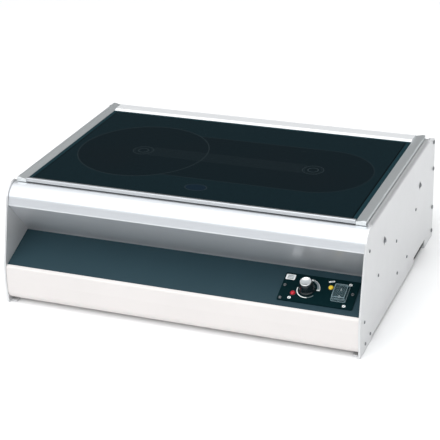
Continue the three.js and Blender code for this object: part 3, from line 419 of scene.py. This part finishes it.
def smooth_faces():
    """A node group for a modifier that shades every face smooth."""
    group = bpy.data.node_groups.new("smooth_faces", "GeometryNodeTree")
    for way in ("INPUT", "OUTPUT"):
        group.interface.new_socket("Geometry", in_out=way, socket_type="NodeSocketGeometry")
    kinds = ("NodeGroupInput", "GeometryNodeSetShadeSmooth", "NodeGroupOutput")
    start, smooth, end = (group.nodes.new(kind) for kind in kinds)
    group.links.new(start.outputs[0], smooth.inputs["Geometry"])
    group.links.new(smooth.outputs[0], end.inputs[0])
    return group


SMOOTH_FACES = smooth_faces()
WELD_REACH = 0.002 * MM
FLAT_ANGLE = math.radians(0.4)
EDGE_ANGLE = math.radians(36)


def soften(obj, width):
    """Fine rounded edges on a CAD node, by modifiers alone."""
    obj.modifiers.new("smooth_faces", "NODES").node_group = SMOOTH_FACES
    weld = obj.modifiers.new("weld", "WELD")
    weld.merge_threshold = WELD_REACH
    flat = obj.modifiers.new("flat_faces", "DECIMATE")
    flat.decimate_type = "DISSOLVE"
    flat.angle_limit = FLAT_ANGLE
    edge = obj.modifiers.new("soft_edges", "BEVEL")
    edge.width = width
    edge.segments = 2
    edge.limit_method = "ANGLE"
    edge.angle_limit = EDGE_ANGLE
    edge.use_clamp_overlap = True
    even = obj.modifiers.new("even_shading", "WEIGHTED_NORMAL")
    even.mode = "FACE_AREA"
    even.weight = 100


def dress_cad_nodes():
    """Gives every CAD node its finish and its soft edges, and leaves its mesh alone."""
    finishes = {node: finish for finish, nodes in WORN_BY.items() for node in nodes}
    for name, obj in NODES.items():
        for slot in obj.material_slots:
            slot.material = MADE[finishes.get(name, "steel")].material
        widths = [v for start, v in ROUNDING.items() if name.startswith(start)]
        soften(obj, (widths[0] if widths else PLAIN_ROUNDING) * MM)


# ---------------------------------------------------------------- meshes
def piece(name, mesh, finish, body="root", smooth=True):
    """A new object from a bmesh, in its finish and on its body."""
    made = bpy.data.meshes.new(name)
    mesh.normal_update()
    mesh.to_mesh(made)
    mesh.free()
    obj = bpy.data.objects.new(name, made)
    bpy.context.scene.collection.objects.link(obj)
    made.materials.append(MADE[finish].material)
    if smooth:
        made.polygons.foreach_set("use_smooth", [True] * len(made.polygons))
    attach(obj, body)
    return obj


def crease(mesh, angle=32):
    """Marks the sharp edges so that smooth shading stops at them."""
    for edge in mesh.edges:
        edge.smooth = len(edge.link_faces) == 2 and edge.calc_face_angle() < math.radians(angle)
    return mesh


def turned(profile, segments, shape=None):
    """A profile of (radius, height) in mm turned about +Z.

    shape gives the radius at each angle from (radius, angle, ring number)."""
    mesh = bmesh.new()
    rings = []
    for k, (radius, height) in enumerate(profile):
        if radius == 0:
            rings.append([mesh.verts.new((0, 0, height * MM))])
            continue
        ring = []
        for i in range(segments):
            angle = 2 * math.pi * i / segments
            reach = shape(radius, angle, k) if shape else radius
            ring.append(mesh.verts.new((
                reach * math.cos(angle) * MM, reach * math.sin(angle) * MM, height * MM
            )))
        rings.append(ring)
    for low, high in zip(rings, rings[1:]):
        for i in range(segments):
            j = (i + 1) % segments
            corners = (
                low[i % len(low)], low[j % len(low)], high[j % len(high)], high[i % len(high)]
            )
            mesh.faces.new(dict.fromkeys(corners))
    return crease(mesh)


def slab(outline, low, high, mesh=None):
    """A closed outline in mm, between two heights."""
    mesh = mesh or bmesh.new()
    foot = [mesh.verts.new((x * MM, y * MM, low * MM)) for x, y in outline]
    top = [mesh.verts.new((x * MM, y * MM, high * MM)) for x, y in outline]
    mesh.faces.new(top)
    mesh.faces.new(foot[::-1])
    for i in range(len(outline)):
        j = (i + 1) % len(outline)
        mesh.faces.new((foot[i], foot[j], top[j], top[i]))
    return mesh


def arc(centre, radius, start, end, steps):
    """Points on a circle between two angles in degrees."""
    points = []
    for i in range(steps + 1):
        angle = math.radians(start + (end - start) * i / steps)
        points.append((
            centre[0] + radius * math.cos(angle), centre[1] + radius * math.sin(angle)
        ))
    return points


def band(centre, inner, outer, start, end, steps=48):
    """Part of a ring. inner and outer are radii, or pairs for its start and its end."""
    def side(radii, step):
        first, last = radii if isinstance(radii, tuple) else (radii, radii)
        angle = math.radians(start + (end - start) * step / steps)
        radius = first + (last - first) * step / steps
        return centre[0] + radius * math.cos(angle), centre[1] + radius * math.sin(angle)

    out = [side(outer, i) for i in range(steps + 1)]
    back = [side(inner, i) for i in range(steps, -1, -1)]
    points = out + back
    return points if end > start else points[::-1]


def rounded(centre, width, length, radius, steps=6, turn=0.0):
    """A rectangle with round corners, turned about its middle."""
    points = []
    for quarter, (sx, sy) in enumerate(((1, 1), (-1, 1), (-1, -1), (1, -1))):
        middle = (sx * (width / 2 - radius), sy * (length / 2 - radius))
        points += arc(middle, radius, 90 * quarter, 90 * quarter + 90, steps)
    cos, sin = math.cos(turn), math.sin(turn)
    return [(centre[0] + x * cos - y * sin, centre[1] + x * sin + y * cos) for x, y in points]


# ---------------------------------------------------------------- control panel
def fascia_frame():
    """The control plate's own frame: x along it, y up the slope and z out of its face."""
    knob = next(j for j in frame["joints"] if j["name"] == "knob_turn")
    normal = Vector(knob["axis"]).normalized()
    across = Vector((1, 0, 0))
    up = normal.cross(across)
    plate = [v.co for v in NODES["control_plate"].data.vertices]
    top = max(v.dot(normal) for v in plate)
    foot = min(v.dot(up) for v in plate)
    left = min(v.x for v in plate)
    turn = Matrix((across, up, normal)).transposed().to_4x4()
    return Matrix.Translation(across * left + up * foot + normal * top) @ turn


PANEL = fascia_frame()

# places on the control plate, in mm from its lower left corner
KNOB = (41.6, 26.2)
SWITCH = (93.8, 27.5)
RED = (21.8, 15.8)
YELLOW = (76.6, 36.5)
DISCS = ((104.6, 47.5), (105.3, 5.0), (18.5, 6.5))
LABEL = (9.2, 46.6)
PLATE_SCREWS = ((4.9, 29.5), (4.9, 3.8), (112.5, 29.5))

# heights of three layers of print
INK = (0.05, 0.07, 0.09)


def on_panel(mesh, at=(0, 0)):
    mesh.transform(PANEL @ Matrix.Translation((at[0] * MM, at[1] * MM, 0)))
    return mesh


def print_on_panel(name, outlines, finish, layer=0):
    mesh = bmesh.new()
    for outline in outlines:
        slab(outline, 0.0, INK[layer], mesh)
    piece(name, on_panel(mesh), finish, smooth=False)


def panel_prints():
    """The scale round the knob and the plain marks near the switch and the lamps."""
    print_on_panel("print_low_arc", [band(KNOB, 14.9, 16.4, 172, 283)], "white_print")
    print_on_panel("print_low_arc_end", [band(KNOB, 15.1, 16.2, 285, 322)], "grey_print")
    wedge = band(KNOB, (19.2, 14.6), (21.2, 19.4), 80, 6)
    print_on_panel("print_power_wedge", [wedge], "grey_print")
    ends = [
        band(KNOB, (18.9, 18.6), (21.5, 21.6), 86, 76, 12),
        band(KNOB, (14.5, 14.3), (19.3, 19.2), 10, 3, 10),
    ]
    print_on_panel("print_power_wedge_ends", ends, "white_print", 1)
    edge = band(KNOB, (21.0, 19.0), (21.6, 19.6), 76, 10)
    print_on_panel("print_power_wedge_edge", [edge], "white_print", 1)
    discs = [rounded(at, 5.4, 4.6, 2.2) for at in DISCS]
    print_on_panel("print_discs", discs, "white_print")
    marks = [rounded(at, 3.3, 1.2, 0.5, turn=0.75) for at in DISCS]
    print_on_panel("print_disc_marks", marks, "black_print", 2)
    print_on_panel("print_label", [rounded(LABEL, 15.0, 10.6, 1.6)], "white_print")
    bars = [rounded((LABEL[0], LABEL[1] + step), 10.4, 1.3, 0.6) for step in (2.7, 0.0, -2.7)]
    print_on_panel("print_label_bars", bars, "grey_print", 2)
    flag = rounded((74.6, 48.8), 9.6, 2.7, 1.2, turn=0.3)
    print_on_panel("print_lamp_flag", [flag], "white_print")
    bar = rounded((75.2, 49.0), 5.0, 0.8, 0.35, turn=0.3)
    print_on_panel("print_lamp_flag_bar", [bar], "grey_print", 2)


POINTER_ANGLE = math.radians(75)


def knob():
    """Tapered body with a fine grip, a bright turned disc on top and a pointer up its side."""
    fluted_rings = range(4, 8)
    flutes, flute_depth = 40, 0.16

    def grip(radius, angle, ring):
        if ring not in fluted_rings:
            return radius
        return radius - flute_depth * (0.5 + 0.5 * math.cos(flutes * angle))

    body = turned([
        (3.4, 15.0), (3.4, 4.6), (9.6, 4.4), (9.8, 0.7), (12.3, 0.7), (12.7, 0.9), (12.9, 1.4),
        (12.9, 2.6), (12.6, 3.3), (12.1, 3.8), (11.6, 6.0), (11.1, 9.5), (10.6, 13.0), (10.2, 16.2),
        (10.0, 17.4), (9.6, 18.1), (9.0, 18.4), (8.95, 18.2), (0, 18.2),
    ], 160, grip)
    made = piece("knob_grip", on_panel(body, KNOB), "knob", "knob")
    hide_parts("knob_body")
    disc = turned([
        (0, 18.25), (8.7, 18.25), (8.85, 18.6), (8.75, 19.3), (8.4, 19.65), (7.9, 19.72),
        (7.75, 19.55), (0, 19.5),
    ], 96)
    made = piece("knob_disc", on_panel(disc, KNOB), "cap", "knob")
    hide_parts("knob_cap")
    aim = Vector((math.cos(POINTER_ANGLE), math.sin(POINTER_ANGLE), 0))
    foot = aim * 12.5 + Vector((0, 0, 2.6))
    tip = aim * 10.05 + Vector((0, 0, 17.2))
    pointer = bmesh.new()
    rib(pointer, foot, tip, 0.6)
    piece("knob_pointer", on_panel(pointer, KNOB), "white_print", "knob")


def lamp(name, at, finish, node):
    """A domed lens in a black bezel."""
    dome = turned([
        (0, -12.0), (3.2, -12.0), (3.3, 0.35), (3.9, 0.4), (3.95, 0.9), (3.7, 1.6), (3.1, 2.4),
        (2.2, 3.05), (1.1, 3.4), (0, 3.5),
    ], 56)
    made = piece(name, on_panel(dome, at), finish, "root")
    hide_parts(node)
    bezel = turned([
        (4.0, 0.03), (4.9, 0.03), (5.0, 0.3), (4.8, 0.75), (4.4, 0.95), (4.05, 0.8), (4.0, 0.03),
    ], 56)
    piece(f"{name}_bezel", on_panel(bezel, at), "black", "root")


def plate_screws():
    """Small black screws with a cross recess."""
    def recess(radius, angle, ring):
        return radius * (0.6 + 0.4 * abs(math.cos(2 * angle))) if ring > 7 else radius

    profile = (
        (0, -1.5), (1.4, -1.5), (1.45, 0.08), (2.9, 0.1), (3.0, 0.35), (2.75, 0.95), (2.2, 1.35),
        (1.5, 1.5), (1.3, 0.9), (0, 0.85),
    )
    for i, at in enumerate(PLATE_SCREWS, 1):
        head = on_panel(turned(profile, 48, recess), at)
        made = piece(f"plate_screw_{i}", head, "dark_steel", "root")
        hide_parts(f"control_plate_screw_{i}")


def rings(mesh, sections):
    """New vertices for outlines in mm, each at its height."""
    return [
        [mesh.verts.new((x * MM, y * MM, z * MM)) for x, y in outline] for outline, z in sections
    ]


def skin(mesh, rows):
    """Faces between rings that have the same number of vertices, each to the next."""
    for a, b in zip(rows, rows[1:]):
        for i in range(len(a)):
            j = (i + 1) % len(a)
            mesh.faces.new((a[i], a[j], b[j], b[i]))


def frame_strip(mesh, outer, inner, low, high):
    """A flat closed frame between two outlines with the same number of points."""
    rows = rings(mesh, ((outer, low), (outer, high), (inner, high), (inner, low)))
    skin(mesh, rows + rows[:1])


def rib(mesh, start, end, radius):
    """A thin round bar between two points."""
    start, end = Vector(start) * MM, Vector(end) * MM
    turn = (end - start).to_track_quat("Z", "Y").to_matrix().to_4x4()
    place = Matrix.Translation((start + end) / 2) @ turn
    bmesh.ops.create_cone(
        mesh, cap_ends=True, segments=12, radius1=radius * MM, radius2=radius * MM,
        depth=(end - start).length, matrix=place,
    )


def switch_guard():
    """Clear splash guard over the rocker: a rim, four leaning walls and a thin roof."""
    def ring(width, length, radius):
        return rounded((0, 0), width, length, radius, 5)

    mesh = bmesh.new()
    walls = rings(mesh, [
        (ring(21.6, 30.4, 2.2), 1.3),
        (ring(22.3, 31.2, 2.4), 0.35),
        (ring(24.2, 33.2, 2.6), 0.35),
        (ring(24.3, 33.3, 2.6), 1.0),
        (ring(23.2, 31.8, 2.5), 1.5),
        (ring(20.7, 26.6, 2.4), 7.2),
        (ring(20.0, 25.8, 2.2), 7.75),
        (ring(17.4, 23.2, 1.6), 7.8),
        (ring(17.0, 22.8, 1.5), 7.5),
        (ring(15.6, 21.6, 1.3), 7.5),
    ])
    skin(mesh, walls)
    mesh.faces.new(walls[-1])
    under = rings(mesh, [(ring(15.6, 21.6, 1.3), 6.8), (ring(18.6, 24.6, 1.6), 6.6)])
    skin(mesh, under + walls[:1])
    mesh.faces.new(under[0][::-1])
    bmesh.ops.recalc_face_normals(mesh, faces=mesh.faces)
    made = piece("switch_guard", on_panel(crease(mesh, 50), SWITCH), "cover", "root")
    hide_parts("switch_cover")
    edges = bmesh.new()
    loops = [((23.7, 32.7), 2.6, 0.5, 1.15), ((20.1, 25.9), 2.2, 7.3, 7.95)]
    for (width, length), radius, low, high in loops:
        outer = ring(width, length, radius)
        inner = ring(width - 1.1, length - 1.1, radius - 0.5)
        frame_strip(edges, outer, inner, low, high)
    for sx in (-1, 1):
        for sy in (-1, 1):
            rib(edges, (sx * 11.0, sy * 15.3, 1.0), (sx * 9.5, sy * 12.3, 7.5), 0.38)
    for y, z in ((-14.4, 3.0), (-13.7, 4.6)):  # two ribs across the lower wall
        rib(edges, (-9.6, y, z), (9.6, y, z), 0.3)
    piece("switch_guard_edges", on_panel(edges, SWITCH), "cover_edge", "root")


ROCKER_TILT = math.radians(10)
ROCKER_PIVOT = -1.2
ROCKER_MIDDLE = 2.8
ROCKER_RISE, ROCKER_REACH = 1.8, 9.9


def rocker_marks():
    """The two generic marks on the rocker, on and off, each on its own slope."""
    tilt = Matrix.Rotation(ROCKER_TILT, 4, "X")
    drop = Matrix.Translation((0, 0, ROCKER_PIVOT * MM))
    for name, at, outline in (
        ("on", 6.2, rounded((0, 0), 0.7, 3.6, 0.3)),
        ("off", -6.2, band((0, 0), 1.25, 1.85, 0, 360, 40)),
    ):
        slope = math.atan2(ROCKER_RISE, ROCKER_REACH) * (1 if at > 0 else -1)
        mesh = slab(outline, 0.0, 0.06)
        height = ROCKER_MIDDLE + abs(at) * ROCKER_RISE / ROCKER_REACH
        seat = Matrix.Translation((0, at * MM, height * MM)) @ Matrix.Rotation(slope, 4, "X")
        mesh.transform(drop @ tilt @ seat)
        piece(f"rocker_mark_{name}", on_panel(mesh, SWITCH), "white_print", "rocker", smooth=False)


# ---------------------------------------------------------------- side fasteners
def cross_recess(radius, angle, ring):
    """Four-lobed outline for the rings inside a screw head's recess."""
    if ring not in (5, 6):
        return radius
    return radius * (0.62 + 0.38 * abs(math.cos(2 * angle)) ** 0.7)


def screw_head(radius, height):
    """A low round head with a cross recess."""
    return turned([
        (0, -1.0), (radius * 0.6, -1.0), (radius * 0.97, 0.02), (radius, height * 0.35),
        (radius * 0.86, height * 0.82), (radius * 0.5, height), (radius * 0.44, height * 0.45),
        (0, height * 0.4),
    ], 48, cross_recess)


def on_side(mesh, side, y, z):
    """Moves a mesh drawn along +Z to the outer face of a side plate: side is -1 or 1."""
    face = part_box("side_plate_right")[1].x
    turn = Matrix.Rotation(math.radians(90 * side), 4, "Y")
    mesh.transform(Matrix.Translation((side * face, y * MM, z * MM)) @ turn)
    return mesh


# places on the side plates, as (y, z) in mm
SMALL_SCREWS = (
    (102, 104.5), (-24, 103.7), (47, 43), (-15, 42.5),
    (-182, 159), (-131, 94.5), (-206, 52), (-173, 15), (-200, 12),
)
TRAY_ADJUSTERS = ((127, 138), (-97, 138))


def side_fasteners():
    for name, side in (("left", -1), ("right", 1)):
        for i, (y, z) in enumerate(SMALL_SCREWS, 1):
            head = on_side(screw_head(2.7, 1.25), side, y, z)
            piece(f"cover_screw_{name}_{i}", head, "steel", "root")
        for i, (y, z) in enumerate(TRAY_ADJUSTERS, 1):
            washer = turned([(0, 0.02), (4.9, 0.02), (5.0, 0.3), (4.9, 0.75), (0, 0.8)], 48)
            washer = on_side(washer, side, y, z)
            piece(f"tray_washer_{name}_{i}", washer, "steel", "root")
            head = screw_head(3.4, 1.7)
            head.transform(Matrix.Translation((0, 0, 0.78 * MM)))
            head = on_side(head, side, y, z)
            piece(f"tray_screw_{name}_{i}", head, "steel", "root")


# ---------------------------------------------------------------- studio
def floor():
    """A pale sheet just under the feet."""
    half, drop = 14.0, 0.0004
    corners = ((-half, -half), (half, -half), (half, half), (-half, half))
    mesh = bpy.data.meshes.new("floor")
    mesh.from_pydata([(x, y, -drop) for x, y in corners], [], [(0, 1, 2, 3)])
    obj = bpy.data.objects.new("floor", mesh)
    bpy.context.scene.collection.objects.link(obj)
    pale = Finish("pale_floor", (0.94, 0.94, 0.94), 0.8, Specular_IOR_Level=0.2)
    pale.gloss(pale.noise(6), 0.02)
    obj.data.materials.append(pale.material)


def softbox(name, location, target, size, power, colour=(1, 1, 1)):
    data = bpy.data.lights.new(name, "AREA")
    data.shape = "RECTANGLE"
    data.size, data.size_y = size
    data.energy = power
    data.color = colour
    obj = bpy.data.objects.new(name, data)
    bpy.context.scene.collection.objects.link(obj)
    obj.location = location
    aim = Vector(target) - Vector(location)
    obj.rotation_mode = "QUATERNION"
    obj.rotation_quaternion = aim.to_track_quat("-Z", "Y")


def studio():
    """A room that is brighter towards the front and overhead, a soft wash and three softboxes."""
    world = bpy.data.worlds.new("studio")
    bpy.context.scene.world = world
    world.use_nodes = True
    tree = world.node_tree
    background = tree.nodes["Background"]
    background.inputs["Color"].default_value = (0.90, 0.95, 1.0, 1)
    split = tree.nodes.new("ShaderNodeSeparateXYZ")
    tree.links.new(tree.nodes.new("ShaderNodeTexCoord").outputs["Generated"], split.inputs[0])
    front = Field(tree, split.outputs["Y"]).math("MULTIPLY_ADD", -0.75, 0.15, clamp=True)
    height = Field(tree, split.outputs["Z"]).math("MULTIPLY_ADD", 2.6, 0.05, clamp=True)
    strength = front * (height * 0.62 + 0.16) + 0.06
    tree.links.new(strength.socket, background.inputs["Strength"])
    sun = bpy.data.lights.new("overhead_wash", "SUN")
    sun.energy = 2.25
    sun.angle = math.radians(110)
    wash = bpy.data.objects.new("overhead_wash", sun)
    bpy.context.scene.collection.objects.link(wash)
    wash.rotation_euler = (math.radians(18), math.radians(-8), 0)
    middle = (0, 0, 0.1)
    softbox("overhead", (0.1, -0.3, 2.6), middle, (2.6, 2.0), 24)
    softbox("front_key", (-0.9, -3.0, 1.9), middle, (4.2, 1.3), 25, (1.0, 0.99, 0.975))
    softbox("right_fill", (2.7, -0.1, 1.1), middle, (3.2, 2.4), 17)
    bpy.context.scene.view_settings.view_transform = "Standard"


def camera():
    """Azimuth 22 degrees to the right and 25 above the horizon, rolled by 2 degrees."""
    azimuth, elevation, roll = (math.radians(v) for v in (22.18, 24.57, -2.05))
    distance = 2.3715
    target = Vector((-0.0210, 0.0241, 0.0758))
    back = Vector((
        math.sin(azimuth) * math.cos(elevation),
        -math.cos(azimuth) * math.cos(elevation),
        math.sin(elevation),
    ))
    data = bpy.data.cameras.new("camera")
    data.lens = 113.66
    data.sensor_width = 36
    obj = bpy.data.objects.new("camera", data)
    bpy.context.scene.collection.objects.link(obj)
    turn = (-back).to_track_quat("-Z", "Y").to_matrix().to_4x4()
    obj.matrix_world = (
        Matrix.Translation(target + back * distance) @ turn @ Matrix.Rotation(roll, 4, "Z")
    )
    bpy.context.scene.camera = obj


dress_cad_nodes()
panel_prints()
knob()
lamp("red_lamp_dome", RED, "red", "red_lamp")
lamp("yellow_lamp_dome", YELLOW, "yellow", "yellow_lamp")
plate_screws()
switch_guard()
rocker_marks()
side_fasteners()
floor()
studio()
camera()
